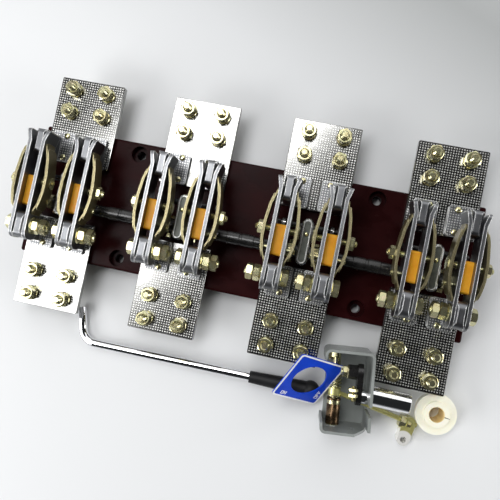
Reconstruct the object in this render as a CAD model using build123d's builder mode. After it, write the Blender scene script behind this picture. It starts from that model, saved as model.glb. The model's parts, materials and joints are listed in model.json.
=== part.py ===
"""Four-pole open knife switch with its loose hand gear, all sizes in millimetres.

Origin: centre of the base's underside. +X runs along the row of poles, +Y towards the jaws, +Z up.
"""
from build123d import *

import os
from math import atan2, cos, degrees, hypot, radians, sin, sqrt

os.makedirs("parts", exist_ok=True)

# Base board
base_length = 534.0
base_width = 157.0
base_thickness = 25.0
base_edge_round = 2.5
mount_hole_dia = 11.0
mount_hole_edge = 14.0
mount_sink_dia = 20.0
mount_sink_depth = 9.0
cut_overrun = 1.0

# Poles and knives
pole_count = 4
pole_pitch = 145.0
knife_offset = 28.0

# Terminal plates
plate_width = 80.0
plate_thickness = 8.0
plate_tip = 140.0
jaw_plate_start = 36.0
hinge_plate_start = 32.0
plate_corner = 1.5
plate_edge = 0.6
terminal_hole_dia = 11.0
terminal_hole_span_x = 41.0
terminal_hole_span_y = 28.0
terminal_hole_edge = 14.0

# Blades, with tips flared outward
blade_thickness = 4.0
blade_gap = 12.0
blade_height = 28.0
blade_lift = 23.0
blade_tail = 17.0
blade_tip = 62.0
blade_flare_start = 49.0
blade_flare = 3.5
blade_bend = 8.0
blade_tail_round = 11.0
blade_tip_round = 5.0

# Contact posts on feet
wipe_clearance = 0.3
post_edge = 2.2
hinge_post_length = 30.0
hinge_post_height = 51.0
hinge_post_round = 9.0
hinge_post_y = -48.0
jaw_post_start = 36.5
jaw_post_length = 28.0
jaw_post_height = 45.0
jaw_post_round = 5.0
foot_thickness = 5.0
foot_reach = 16.0
foot_length = 36.0
foot_round = 3.0

# Hinge bolts
hex_sides = 6
quarter_turn = 90.0
hinge_y = -47.0
hinge_bolt_dia = 10.0
pivot_clearance = 0.05
washer_dia = 20.0
washer_thickness = 2.0
nut_count = 2
nut_flats = 16.0
nut_height = 7.5
nut_gap = 0.8
head_height = 6.5
bolt_end = 2.0

# Leaf springs, bowed out from the blades
spring_thickness = 1.5
spring_height = 20.0
spring_bow = 6.5
spring_bend = 12.0
spring_foot = 3.0
spring_foot_low = -32.0
spring_shoulder_low = -22.0
spring_bow_low = -8.0
spring_bow_high = 10.0
spring_shoulder_high = 30.0
spring_foot_high = 45.0
spring_shoulder_share = 0.65
spring_round = 4.0

# Insulating blocks
block_start = -25.0
block_end = 10.0
block_web = 3.7
block_round = 3.0
block_slot = 5.4

# Through bolt and link pin of each knife
knife_bolt_y = 4.0
knife_bolt_lift = 34.5
knife_bolt_dia = 8.0
knife_bolt_end = 4.0
knife_nut_flats = 13.0
knife_nut_height = 6.5
knife_head_height = 3.0
link_pin_dia = 6.0
link_pin_over = 2.0

# Shaft and cranks
shaft_dia = 14.0
shaft_y = -14.0
shaft_lift = 9.0
shaft_length = 522.0
crank_reach = 30.0
crank_drop = 6.0
crank_width = 13.0
crank_hub_dia = 20.0
crank_eye_dia = 12.0
crank_nose = 38.0
crank_nose_thickness = 4.0
crank_heel = 15.0
crank_heel_lift = 2.0
crank_edge = 1.4
cross_rod_dia = 7.0
cross_rod_over = 7.0

# Links
link_thickness = 4.0
link_eye_dia = 12.0
link_bar_width = 8.0
link_slack = 0.3

# Shaft bearings, two to a pole
bearing_offset = 14.5
bearing_width = 6.0
bearing_cap_dia = 18.0
bearing_foot_width = 26.0
bearing_foot_height = 4.0

# Handle
rod_dia = 10.5
rod_corner_x = -170.4
rod_corner_y = -173.5
rod_tip_x = -181.6
rod_tip_y = -133.0
rod_bend = 20.0
rod_end_x = 40.0
rod_end_y = -170.0
tip_length = 14.0
tip_slot = 4.0
grip_length = 84.0
grip_start_dia = 14.0
grip_neck_dia = 18.5
grip_ball_dia = 21.8
grip_socket = 20.0

# Bracket
sheet = 3.0
bracket_left = 124.0
bracket_right = 178.5
bracket_far = -107.0
bracket_near = -198.0
bracket_turn = 6.5
bracket_height = 58.0
bracket_bend = 6.0
lip_length = 12.0
lip_round = 5.0
flange_cut_width = 17.0
flange_cut_height = 36.0
flange_slot_length = 11.0
flange_slot_width = 6.0
flange_slot_x = 13.0
flange_hole_dia = 5.0
flange_hole_x = 37.0
flange_hole_z = 33.0
notch_width = 11.0
notch_depth = 46.0

# Spindle, crank and stay bolt of the bracket
spindle_dia = 16.0
spindle_out = 42.0
spindle_in = 8.0
spindle_y = -158.0
spindle_z = 36.0
arm_thickness = 6.0
arm_width = 20.0
arm_end_y = -131.0
arm_end_z = 42.0
arm_boss_flats = 14.0
arm_boss_height = 10.0
stay_dia = 9.0
stay_x = 139.2
stay_z = 21.0
stay_sleeve_dia = 15.0
stay_sleeve_length = 30.0

# Connecting rod
tie_dia = 5.5
tie_ring_dia = 14.0
tie_ring_width = 8.0
tie_start_y = -157.7
tie_end_x = 236.2
tie_end_y = -189.1
eye_width = 14.0
eye_reach = 20.0
eye_height = 14.0
eye_bore = 7.0
eye_back = 9.0

# Face plate
face_size = 63.2
face_thickness = 1.5
face_round = 3.5
face_hole_dia = 42.0
face_x = 107.6
face_y = -152.9
face_z = 41.2
face_lean = 43.3
face_heading = -50.0
face_turn = 32.0

# Bush
bush_x = 255.0
bush_y = -161.7
bush_body_dia = 38.0
bush_body_height = 18.5
bush_flange_dia = 46.0
bush_flange_height = 6.0
bush_ring_dia = 29.0
bush_ring_height = 4.0
bush_bore = 17.0

# Heights and places that follow from the sizes above
plate_top = base_thickness + plate_thickness
blade_low = plate_top + blade_lift
blade_mid = blade_low + blade_height / 2
hinge_z = blade_mid
post_thickness = blade_gap - 2 * wipe_clearance
blade_outer = blade_gap / 2 + blade_thickness
spring_face = blade_outer + spring_bow + spring_thickness
shaft_z = plate_top + shaft_lift
rod_pin_y = shaft_y + crank_reach
rod_pin_z = shaft_z - crank_drop
link_pin_y = hinge_y + crank_reach
link_pin_z = hinge_z - crank_drop
knife_bolt_z = plate_top + knife_bolt_lift
block_slot_top = link_pin_z + link_eye_dia / 2 + link_slack
block_top = block_slot_top + block_web
both_sides = (-1, 1)
pole_places = [(i - (pole_count - 1) / 2) * pole_pitch for i in range(pole_count)]
knife_places = [(pole_x, side) for pole_x in pole_places for side in both_sides]


def hexagon(flats):
    """Corner radius of a hexagon from its width across flats."""
    return flats / sqrt(3)


def finish(builder, label, place=Location()):
    """Set a finished piece in its place, name it and write it."""
    piece = builder.part.moved(place)
    piece.label = label
    export_step(piece, f"parts/{label}.step")


# Base board with four sunk mounting holes
with BuildPart() as base:
    Box(base_length, base_width, base_thickness, align=(Align.CENTER, Align.CENTER, Align.MIN))
    fillet(base.edges().filter_by(Axis.Z), base_edge_round)
    fillet(base.faces().sort_by(Axis.Z)[-1].edges(), base_edge_round)
    with Locations(Plane.XY.offset(base_thickness)):
        with GridLocations(2 * pole_pitch, base_width - 2 * mount_hole_edge, 2, 2):
            CounterBoreHole(mount_hole_dia / 2, mount_sink_dia / 2, mount_sink_depth, base_thickness)
finish(base, "base")


# Terminal plates, one pair for each pole
def terminals(side, start):
    """Flat plates on the base, each with four bolt holes beyond the base's edge."""
    hole_row = plate_tip - terminal_hole_edge - terminal_hole_span_y / 2
    with BuildPart() as plates:
        with BuildSketch(Plane.XY.offset(base_thickness)):
            for pole_x in pole_places:
                with Locations((pole_x, side * (start + plate_tip) / 2)):
                    RectangleRounded(plate_width, plate_tip - start, plate_corner)
        extrude(amount=plate_thickness)
        chamfer(plates.faces().group_by(Axis.Z)[-1].edges(), plate_edge)
        with BuildSketch(Plane.XY.offset(base_thickness)):
            for pole_x in pole_places:
                with Locations((pole_x, side * hole_row)):
                    with GridLocations(terminal_hole_span_x, terminal_hole_span_y, 2, 2):
                        Circle(terminal_hole_dia / 2)
        extrude(amount=plate_thickness, mode=Mode.SUBTRACT)
    return plates


# Posts that the blades grip, each with a foot turned towards the middle of its pole
def posts(start, length, height, top_round, foot_start):
    """Two upright posts on each terminal plate of one side, with bevelled tops."""
    with BuildPart() as uprights:
        with BuildSketch(Plane.XZ.offset(-start - length)) as ends:
            for pole_x, side in knife_places:
                with Locations((pole_x + side * knife_offset, plate_top)):
                    Rectangle(post_thickness, height, align=(Align.CENTER, Align.MIN))
            chamfer(ends.vertices().group_by(Axis.Y)[-1], post_edge)
        extrude(amount=length)
        with BuildSketch(Plane.YZ.offset(-base_length / 2)) as outline:
            with Locations((start + length / 2, plate_top)):
                Rectangle(length, height, align=(Align.CENTER, Align.MIN))
            fillet(outline.vertices().group_by(Axis.Y)[-1], top_round)
        extrude(amount=base_length, mode=Mode.INTERSECT)
        with BuildSketch(Plane.XY.offset(plate_top)):
            for pole_x, side in knife_places:
                foot_x = pole_x + side * (knife_offset - foot_reach / 2)
                with Locations((foot_x, foot_start + foot_length / 2)):
                    RectangleRounded(post_thickness + foot_reach, foot_length, foot_round)
        extrude(amount=foot_thickness)
    return uprights


# Hinge bolts with a washer and head on one side, a washer and two nuts on the other
def hinge_bolts():
    """One bolt through each hinge post, its nuts turned to the middle of the row."""
    washer_start = blade_outer + wipe_clearance
    stack = washer_start + washer_thickness
    reach = stack + nut_count * (nut_height + nut_gap) + bolt_end
    with BuildPart() as bolts:
        for pole_x, side in knife_places:
            nut_side = 1 if pole_x < 0 else -1
            middle = pole_x + side * knife_offset
            head_at = middle - nut_side * stack
            with BuildSketch(Plane.YZ.offset(head_at)):
                with Locations((hinge_y, hinge_z)):
                    Circle(hinge_bolt_dia / 2)
            extrude(amount=nut_side * (stack + reach))
            with BuildSketch(Plane.YZ.offset(head_at)):
                with Locations((hinge_y, hinge_z)):
                    RegularPolygon(hexagon(nut_flats), hex_sides)
            extrude(amount=-nut_side * head_height)
            for end in both_sides:
                with BuildSketch(Plane.YZ.offset(middle + end * washer_start)):
                    with Locations((hinge_y, hinge_z)):
                        Circle(washer_dia / 2)
                extrude(amount=end * washer_thickness)
            for step in range(nut_count):
                nut_at = middle + nut_side * (stack + step * (nut_height + nut_gap))
                with BuildSketch(Plane.YZ.offset(nut_at)):
                    with Locations((hinge_y, hinge_z)):
                        RegularPolygon(hexagon(nut_flats), hex_sides)
                extrude(amount=nut_side * nut_height)
    return bolts


# Bent strips that the blades and the springs are cut from
def strips(pole_x, path, bend, thickness, low, height):
    """Four upright strips of one pole along a path of (distance from the knife's middle, y) points."""
    with BuildPart() as four:
        for knife in both_sides:
            for leaf in both_sides:
                middle = pole_x + knife * knife_offset
                with BuildSketch(Plane.XY.offset(low)):
                    with BuildLine() as inner_face:
                        Polyline(*[(middle + leaf * out, y) for out, y in path])
                        fillet(inner_face.vertices().sort_by(Axis.Y)[1:-1], bend)
                        offset(amount=thickness, side=Side.RIGHT if leaf > 0 else Side.LEFT)
                    make_face()
                extrude(amount=height)
    return four


# Knife blades, two to a knife
def blades(pole_x):
    """Four blades of one pole, bored for the hinge bolt, the through bolt and the link pin."""
    tail_end = hinge_y - blade_tail
    path = [
        (blade_gap / 2, tail_end - cut_overrun),
        (blade_gap / 2, blade_flare_start),
        (blade_gap / 2 + blade_flare, blade_tip),
    ]
    with BuildPart() as four:
        add(strips(pole_x, path, blade_bend, blade_thickness, blade_low, blade_height).part)
        with BuildSketch(Plane.YZ.offset(pole_x - pole_pitch / 2)) as outline:
            with Locations(((tail_end + blade_tip) / 2, blade_mid)):
                Rectangle(blade_tip - tail_end, blade_height)
            fillet(outline.vertices().group_by(Axis.X)[0], blade_tail_round)
            fillet(outline.vertices().group_by(Axis.X)[-1], blade_tip_round)
            with Locations((hinge_y, hinge_z)):
                Circle(hinge_bolt_dia / 2 + pivot_clearance, mode=Mode.SUBTRACT)
            with Locations((knife_bolt_y, knife_bolt_z)):
                Circle(knife_bolt_dia / 2, mode=Mode.SUBTRACT)
            with Locations((link_pin_y, link_pin_z)):
                Circle(link_pin_dia / 2, mode=Mode.SUBTRACT)
        extrude(amount=pole_pitch, mode=Mode.INTERSECT)
    return four


# Bowed leaf springs outside the blades
def springs(pole_x):
    """Four bowed strips of one pole, each with a flat foot at both ends."""
    low_end = spring_foot_low - spring_foot
    high_end = spring_foot_high + spring_foot
    path = [
        (blade_outer, low_end),
        (blade_outer, spring_foot_low),
        (blade_outer + spring_bow * spring_shoulder_share, spring_shoulder_low),
        (blade_outer + spring_bow, spring_bow_low),
        (blade_outer + spring_bow, spring_bow_high),
        (blade_outer + spring_bow * spring_shoulder_share, spring_shoulder_high),
        (blade_outer, spring_foot_high),
        (blade_outer, high_end),
    ]
    with BuildPart() as four:
        add(strips(pole_x, path, spring_bend, spring_thickness, blade_low, blade_height).part)
        with BuildSketch(Plane.YZ.offset(pole_x - pole_pitch / 2)):
            with Locations(((low_end + high_end) / 2, blade_mid)):
                RectangleRounded(high_end - low_end, spring_height, spring_round)
            with Locations((knife_bolt_y, knife_bolt_z)):
                Circle(knife_bolt_dia / 2, mode=Mode.SUBTRACT)
            with Locations((link_pin_y, link_pin_z)):
                Circle(link_pin_dia / 2, mode=Mode.SUBTRACT)
        extrude(amount=pole_pitch, mode=Mode.INTERSECT)
    return four


# Insulating blocks between the blades, slotted from below for the links
def blocks(pole_x):
    """Two blocks of one pole."""
    block_length = block_end - block_start
    block_height = block_top - blade_low
    block_y = (block_start + block_end) / 2
    with BuildPart() as pair:
        for side in both_sides:
            middle = pole_x + side * knife_offset
            with BuildSketch(Plane.YZ.offset(middle - blade_gap / 2)):
                with Locations((block_y, blade_low + block_height / 2)):
                    RectangleRounded(block_length, block_height, block_round)
                with Locations((knife_bolt_y, knife_bolt_z)):
                    Circle(knife_bolt_dia / 2, mode=Mode.SUBTRACT)
                with Locations((link_pin_y, link_pin_z)):
                    Circle(link_pin_dia / 2, mode=Mode.SUBTRACT)
            extrude(amount=blade_gap)
            with BuildSketch(Plane.YZ.offset(middle - block_slot / 2)):
                with Locations((block_y, block_slot_top)):
                    Rectangle(block_length + 2 * cut_overrun, block_height + cut_overrun,
                              align=(Align.CENTER, Align.MAX))
            extrude(amount=block_slot, mode=Mode.SUBTRACT)
    return pair


# Through bolt and link pin of each knife
def knife_pins(pole_x):
    """Two through bolts with a head and a nut, and two link pins, of one pole."""
    head_end = spring_face + knife_head_height
    nut_end = spring_face + knife_nut_height
    pin_half = spring_face + link_pin_over
    with BuildPart() as pins:
        for side in both_sides:
            middle = pole_x + side * knife_offset
            with BuildSketch(Plane.YZ.offset(middle - side * head_end)):
                with Locations((knife_bolt_y, knife_bolt_z)):
                    RegularPolygon(hexagon(knife_nut_flats), hex_sides)
            extrude(amount=side * knife_head_height)
            with BuildSketch(Plane.YZ.offset(middle + side * spring_face)):
                with Locations((knife_bolt_y, knife_bolt_z)):
                    RegularPolygon(hexagon(knife_nut_flats), hex_sides)
            extrude(amount=side * knife_nut_height)
            with BuildSketch(Plane.YZ.offset(middle - side * head_end)):
                with Locations((knife_bolt_y, knife_bolt_z)):
                    Circle(knife_bolt_dia / 2)
            extrude(amount=side * (head_end + nut_end + knife_bolt_end))
            with BuildSketch(Plane.YZ.offset(middle - pin_half)):
                with Locations((link_pin_y, link_pin_z)):
                    Circle(link_pin_dia / 2)
            extrude(amount=2 * pin_half)
    return pins


# Links from the cross rod up to the link pins
def links(pole_x):
    """Two flat links of one pole, each with an eye at both ends."""
    rise = link_pin_z - rod_pin_z
    run = link_pin_y - rod_pin_y
    middle_place = ((rod_pin_y + link_pin_y) / 2, (rod_pin_z + link_pin_z) / 2)
    with BuildPart() as pair:
        for side in both_sides:
            with BuildSketch(Plane.YZ.offset(pole_x + side * knife_offset - link_thickness / 2)):
                with Locations((rod_pin_y, rod_pin_z), (link_pin_y, link_pin_z)):
                    Circle(link_eye_dia / 2)
                with Locations(Location(middle_place, degrees(atan2(rise, run)))):
                    Rectangle(hypot(rise, run), link_bar_width)
                with Locations((rod_pin_y, rod_pin_z)):
                    Circle(cross_rod_dia / 2 + pivot_clearance, mode=Mode.SUBTRACT)
                with Locations((link_pin_y, link_pin_z)):
                    Circle(link_pin_dia / 2 + link_slack, mode=Mode.SUBTRACT)
            extrude(amount=link_thickness)
    return pair


finish(terminals(1, jaw_plate_start), "upper_terminals")
finish(terminals(-1, hinge_plate_start), "lower_terminals")
finish(posts(jaw_post_start, jaw_post_length, jaw_post_height, jaw_post_round, jaw_post_start), "jaw_posts")
finish(hinge_bolts(), "hinge_bolts")
for number, pole_x in enumerate(pole_places, start=1):
    finish(blades(pole_x), f"blades_{number}")
    finish(springs(pole_x), f"springs_{number}")
    finish(blocks(pole_x), f"blocks_{number}")
    finish(knife_pins(pole_x), f"knife_pins_{number}")
    finish(links(pole_x), f"links_{number}")

# Hinge posts, bored for the hinge bolts
hinge_post_start = hinge_post_y - hinge_post_length / 2
hinge_foot_start = hinge_post_y + hinge_post_length / 2 - foot_length
with BuildPart() as hinge_posts:
    add(posts(hinge_post_start, hinge_post_length, hinge_post_height, hinge_post_round,
              hinge_foot_start).part)
    with BuildSketch(Plane.YZ.offset(-base_length / 2)):
        with Locations((hinge_y, hinge_z)):
            Circle(hinge_bolt_dia / 2)
    extrude(amount=base_length, mode=Mode.SUBTRACT)
finish(hinge_posts, "hinge_posts")

# Shaft under all the knives
with BuildPart() as shaft:
    with BuildSketch(Plane.YZ.offset(-shaft_length / 2)):
        with Locations((shaft_y, shaft_z)):
            Circle(shaft_dia / 2)
    extrude(amount=shaft_length)
finish(shaft, "shaft")

# Crank arms on the shaft, one in the middle of each pole, with a heel behind the shaft
crank_top = shaft_z + crank_hub_dia / 2
crank_nose_y = shaft_y + crank_nose
with BuildPart() as crank_arms:
    for pole_x in pole_places:
        with BuildSketch(Plane.YZ.offset(pole_x - crank_width / 2)):
            with Locations((shaft_y, shaft_z)):
                Circle(crank_hub_dia / 2)
            with Locations((rod_pin_y, rod_pin_z)):
                Circle(crank_eye_dia / 2)
            with BuildLine():
                Line((crank_nose_y, crank_top - crank_nose_thickness), (crank_nose_y, crank_top))
            make_hull()
        extrude(amount=crank_width)
        with BuildSketch(Plane.YZ.offset(pole_x - crank_width / 2)):
            with Locations((shaft_y, shaft_z)):
                Circle(crank_heel)
            with Locations((shaft_y, shaft_z + crank_heel_lift)):
                Rectangle(2 * crank_heel, crank_top - shaft_z - crank_heel_lift,
                          align=(Align.MAX, Align.MIN), mode=Mode.INTERSECT)
        extrude(amount=crank_width)
    with BuildSketch(Plane.XY.offset(base_thickness)):
        for pole_x in pole_places:
            with Locations(Location((pole_x, shaft_y + (crank_nose - crank_heel) / 2), quarter_turn)):
                SlotOverall(crank_nose + crank_heel, crank_width)
    extrude(amount=crank_top - base_thickness, mode=Mode.INTERSECT)
    chamfer(crank_arms.faces().group_by(Axis.Z)[-1].edges(), crank_edge)
    with BuildSketch(Plane.YZ.offset(-base_length / 2)):
        with Locations((shaft_y, shaft_z)):
            Circle(shaft_dia / 2)
        with Locations((rod_pin_y, rod_pin_z)):
            Circle(cross_rod_dia / 2)
    extrude(amount=base_length, mode=Mode.SUBTRACT)
finish(crank_arms, "crank_arms")

# Cross rods that join each crank arm to its two links
cross_rod_length = 2 * (knife_offset + link_thickness / 2 + cross_rod_over)
with BuildPart() as cross_rods:
    for pole_x in pole_places:
        with BuildSketch(Plane.YZ.offset(pole_x - cross_rod_length / 2)):
            with Locations((rod_pin_y, rod_pin_z)):
                Circle(cross_rod_dia / 2)
        extrude(amount=cross_rod_length)
finish(cross_rods, "cross_rods")

# Bearings that carry the shaft, one on each side of a crank arm
with BuildPart() as shaft_bearings:
    for pole_x in pole_places:
        for side in both_sides:
            with BuildSketch(Plane.YZ.offset(pole_x + side * bearing_offset - bearing_width / 2)):
                with Locations((shaft_y, shaft_z)):
                    Circle(bearing_cap_dia / 2)
                with Locations((shaft_y, base_thickness)):
                    Rectangle(bearing_cap_dia, shaft_z - base_thickness, align=(Align.CENTER, Align.MIN))
                    Rectangle(bearing_foot_width, bearing_foot_height, align=(Align.CENTER, Align.MIN))
                with Locations((shaft_y, shaft_z)):
                    Circle(shaft_dia / 2 + pivot_clearance, mode=Mode.SUBTRACT)
            extrude(amount=bearing_width)
finish(shaft_bearings, "shaft_bearings")

# Bent handle rod, lying with its bend and its grip on the floor, its tip slotted
rod_radius = rod_dia / 2
grip_run = hypot(rod_end_x - rod_corner_x, rod_end_y - rod_corner_y)
ball_run = grip_length - grip_ball_dia / 2
axis_lift = (grip_ball_dia / 2 - rod_radius) / (grip_run + ball_run)
rod_end_z = rod_radius + axis_lift * grip_run
rod_corner = Vector(rod_corner_x, rod_corner_y, rod_radius)
rod_end = Vector(rod_end_x, rod_end_y, rod_end_z)
rod_axis = (rod_end - rod_corner).normalized()
grip_plane = Plane(origin=rod_end, x_dir=Vector(0, 0, 1), z_dir=rod_axis)
with BuildPart() as handle_rod:
    with BuildLine() as rod_path:
        Polyline((rod_tip_x, rod_tip_y, rod_radius), rod_corner, rod_end + rod_axis * grip_socket)
        fillet(rod_path.vertices().sort_by(Axis.X)[1], rod_bend)
    tip_plane = Plane(origin=rod_path.line @ 0, x_dir=Vector(0, 0, 1), z_dir=rod_path.line % 0)
    with BuildSketch(tip_plane):
        Circle(rod_radius)
    sweep()
    with BuildSketch(tip_plane):
        Rectangle(2 * rod_dia, tip_slot)
    extrude(amount=tip_length, mode=Mode.SUBTRACT)
finish(handle_rod, "handle_rod")

# Black grip pushed over the rod, with a ball at its end
with BuildPart() as handle_grip:
    with BuildSketch(grip_plane):
        Circle(grip_start_dia / 2)
    with BuildSketch(grip_plane.offset(ball_run)):
        Circle(grip_neck_dia / 2)
    loft()
    with Locations(grip_plane.offset(ball_run)):
        Sphere(grip_ball_dia / 2)
    with BuildSketch(grip_plane):
        Circle(rod_radius)
    extrude(amount=grip_socket, mode=Mode.SUBTRACT)
finish(handle_grip, "handle_grip")

# Grey bracket: bent sheet with two lips, standing on the floor, turned with all that it carries
bracket_pivot = Vector(bracket_right, (bracket_far + bracket_near) / 2, 0)
bracket_place = Location(bracket_pivot, Vector(0, 0, bracket_turn)) * Location(-bracket_pivot)
tie_wall_share = (bracket_right - stay_x) / (tie_end_x - stay_x)
tie_wall_y = tie_start_y + tie_wall_share * (tie_end_y - tie_start_y)
with BuildPart() as bracket:
    with BuildSketch():
        with BuildLine() as bracket_line:
            Polyline(
                (bracket_left, bracket_far - lip_length),
                (bracket_left, bracket_far),
                (bracket_right, bracket_far),
                (bracket_right, bracket_near),
                (bracket_left, bracket_near),
                (bracket_left, bracket_near + lip_length),
            )
            fillet(bracket_line.vertices().group_by(Axis.Y)[0], bracket_bend)
            fillet(bracket_line.vertices().group_by(Axis.Y)[-1], bracket_bend)
            offset(amount=sheet, side=Side.RIGHT)
        make_face()
    extrude(amount=bracket_height)
    fillet(bracket.edges().filter_by(Axis.X).group_by(Axis.Z)[-1].sort_by(SortBy.LENGTH)[:2], lip_round)
    with BuildSketch(Plane.XZ.offset(-bracket_near + cut_overrun)):
        with Locations((bracket_left + flange_slot_x, flange_hole_z)):
            SlotOverall(flange_slot_length, flange_slot_width)
        with Locations((bracket_left + flange_hole_x, flange_hole_z)):
            Circle(flange_hole_dia / 2)
        with BuildLine():
            Polyline(
                (bracket_right + cut_overrun, bracket_height - flange_cut_height),
                (bracket_right + cut_overrun, bracket_height + cut_overrun),
                (bracket_right - flange_cut_width, bracket_height + cut_overrun),
                (bracket_right - flange_cut_width, bracket_height),
                close=True,
            )
        make_face()
    extrude(amount=-bracket_bend - cut_overrun, mode=Mode.SUBTRACT)
    with BuildSketch(Plane.YZ.offset(bracket_right - sheet - cut_overrun)):
        with Locations((tie_wall_y, bracket_height)):
            Rectangle(notch_width, notch_depth, align=(Align.CENTER, Align.MAX))
        with Locations((spindle_y, spindle_z)):
            Circle(spindle_dia / 2)
    extrude(amount=sheet + 2 * cut_overrun, mode=Mode.SUBTRACT)
finish(bracket, "bracket", bracket_place)

# Spindle that takes the handle, through the bracket's back wall
with BuildPart() as spindle:
    with BuildSketch(Plane.YZ.offset(bracket_right - sheet - spindle_in)):
        with Locations((spindle_y, spindle_z)):
            Circle(spindle_dia / 2)
    extrude(amount=spindle_in + sheet + spindle_out)
finish(spindle, "spindle", bracket_place)

# Crank arm on the spindle's inner end, with a hexagon boss
with BuildPart() as bracket_crank:
    arm_face = bracket_right - sheet - spindle_in
    arm_run = arm_end_y - spindle_y
    arm_rise = arm_end_z - spindle_z
    arm_middle = ((spindle_y + arm_end_y) / 2, (spindle_z + arm_end_z) / 2)
    with BuildSketch(Plane.YZ.offset(arm_face)):
        with Locations(Location(arm_middle, degrees(atan2(arm_rise, arm_run)))):
            SlotCenterToCenter(hypot(arm_rise, arm_run), arm_width)
    extrude(amount=-arm_thickness)
    with BuildSketch(Plane.YZ.offset(arm_face - arm_thickness)):
        with Locations((arm_end_y, arm_end_z)):
            RegularPolygon(hexagon(arm_boss_flats), hex_sides)
    extrude(amount=-arm_boss_height)
finish(bracket_crank, "bracket_crank", bracket_place)

# Stay bolt between the bracket's two flanges
with BuildPart() as stay_bolt:
    stay_near = bracket_near + sheet
    stay_far = bracket_far - sheet
    with BuildSketch(Plane.XZ.offset(-stay_near)):
        with Locations((stay_x, stay_z)):
            Circle(stay_dia / 2)
    extrude(amount=stay_near - stay_far)
    with BuildSketch(Plane.XZ.offset(-stay_near)):
        with Locations((stay_x, stay_z)):
            Circle(stay_sleeve_dia / 2)
    extrude(amount=-stay_sleeve_length)
finish(stay_bolt, "stay_bolt", bracket_place)

# Connecting rod: a ring round the stay bolt, a straight rod and an eye set across its end
tie_start = Vector(stay_x, tie_start_y, stay_z)
tie_end = Vector(tie_end_x, tie_end_y, eye_height / 2)
tie_axis = (tie_end - tie_start).normalized()
tie_heading = degrees(atan2(tie_end_y - tie_start_y, tie_end_x - stay_x))
with BuildPart() as connecting_rod:
    with BuildSketch(Plane.XZ.offset(-tie_start_y - tie_ring_width / 2)):
        with Locations((stay_x, stay_z)):
            Circle(tie_ring_dia / 2)
    extrude(amount=tie_ring_width)
    with BuildSketch(Plane(origin=tie_start, z_dir=tie_axis)):
        Circle(tie_dia / 2)
    extrude(amount=(tie_end - tie_start).length)
    with BuildSketch():
        with Locations(Location((tie_end_x, tie_end_y), tie_heading)):
            with Locations(Location((-eye_back, -eye_reach / 2), quarter_turn)):
                SlotCenterToCenter(eye_reach, eye_width)
            with Locations((-eye_back, -eye_reach)):
                Circle(eye_bore / 2, mode=Mode.SUBTRACT)
    extrude(amount=eye_height)
    with BuildSketch(Plane.XZ.offset(-tie_start_y - tie_ring_width)):
        with Locations((stay_x, stay_z)):
            Circle(stay_dia / 2)
    extrude(amount=2 * tie_ring_width, mode=Mode.SUBTRACT)
finish(connecting_rod, "connecting_rod", bracket_place)

# Face plate, leaning on the grip
lean_out = sin(radians(face_lean))
face_normal = Vector(lean_out * cos(radians(face_heading)), lean_out * sin(radians(face_heading)),
                     cos(radians(face_lean)))
face_plane = Plane(origin=(face_x, face_y, face_z), z_dir=face_normal,
                   x_dir=Vector(-sin(radians(face_heading)), cos(radians(face_heading)), 0))
with BuildPart() as face_plate:
    with BuildSketch(face_plane):
        with Locations(Location((0, 0), face_turn)):
            RectangleRounded(face_size, face_size, face_round)
        Circle(face_hole_dia / 2, mode=Mode.SUBTRACT)
    extrude(amount=face_thickness)
finish(face_plate, "face_plate")

# Flanged bush with an open bore
with BuildPart() as bush:
    with BuildSketch():
        with Locations((bush_x, bush_y)):
            Circle(bush_body_dia / 2)
    extrude(amount=bush_body_height)
    with BuildSketch(Plane.XY.offset(bush_body_height)):
        with Locations((bush_x, bush_y)):
            Circle(bush_flange_dia / 2)
    extrude(amount=bush_flange_height)
    with BuildSketch(Plane.XY.offset(bush_body_height + bush_flange_height)):
        with Locations((bush_x, bush_y)):
            Circle(bush_ring_dia / 2)
    extrude(amount=bush_ring_height)
    with BuildSketch():
        with Locations((bush_x, bush_y)):
            Circle(bush_bore / 2)
    extrude(amount=bush_body_height + bush_flange_height + bush_ring_height, mode=Mode.SUBTRACT)
finish(bush, "bush")
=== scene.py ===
"""Looks of the four-pole knife switch: fasteners, embossing, materials, lights and camera."""
import json
import math

import bmesh
import bpy
from mathutils import Euler, Matrix, Vector


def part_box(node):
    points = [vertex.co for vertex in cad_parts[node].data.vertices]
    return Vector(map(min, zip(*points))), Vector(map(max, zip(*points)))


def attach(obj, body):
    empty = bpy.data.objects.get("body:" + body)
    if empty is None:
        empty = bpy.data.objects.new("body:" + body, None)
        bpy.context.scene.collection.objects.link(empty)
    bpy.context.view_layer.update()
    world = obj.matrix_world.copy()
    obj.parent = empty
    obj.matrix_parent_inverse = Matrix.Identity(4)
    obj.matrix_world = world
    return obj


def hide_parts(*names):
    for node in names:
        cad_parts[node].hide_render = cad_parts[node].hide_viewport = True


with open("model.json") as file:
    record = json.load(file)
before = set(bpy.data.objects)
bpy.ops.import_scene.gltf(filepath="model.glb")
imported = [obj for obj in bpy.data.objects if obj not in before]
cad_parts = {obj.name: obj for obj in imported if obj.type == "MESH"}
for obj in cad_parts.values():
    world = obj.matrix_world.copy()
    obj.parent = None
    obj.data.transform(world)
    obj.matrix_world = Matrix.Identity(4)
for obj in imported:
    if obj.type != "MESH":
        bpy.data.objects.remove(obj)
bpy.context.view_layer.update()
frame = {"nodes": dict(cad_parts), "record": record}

MM = 0.001
SEGMENTS = 32
HEX_SEGMENTS = 36
SHARP_ANGLE = math.radians(30)
SPLIT_RISE = 0.5
NOISE_LOW, NOISE_HIGH = 0.3, 0.7
M8_PITCH, M10_PITCH = 1.25, 1.5

record = frame["record"]
joint_place = {j["name"]: Vector(j["pos_m"]) / MM for j in record["behaviour"]["joints"]}
mount_place = {m["name"]: Vector(m["pos_m"]) / MM for m in record["mounts"]}
hinge_places = [joint_place[f"knife_{n}_turn"] for n in range(1, 5)]
pole_xs = [place.x for place in hinge_places]


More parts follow.
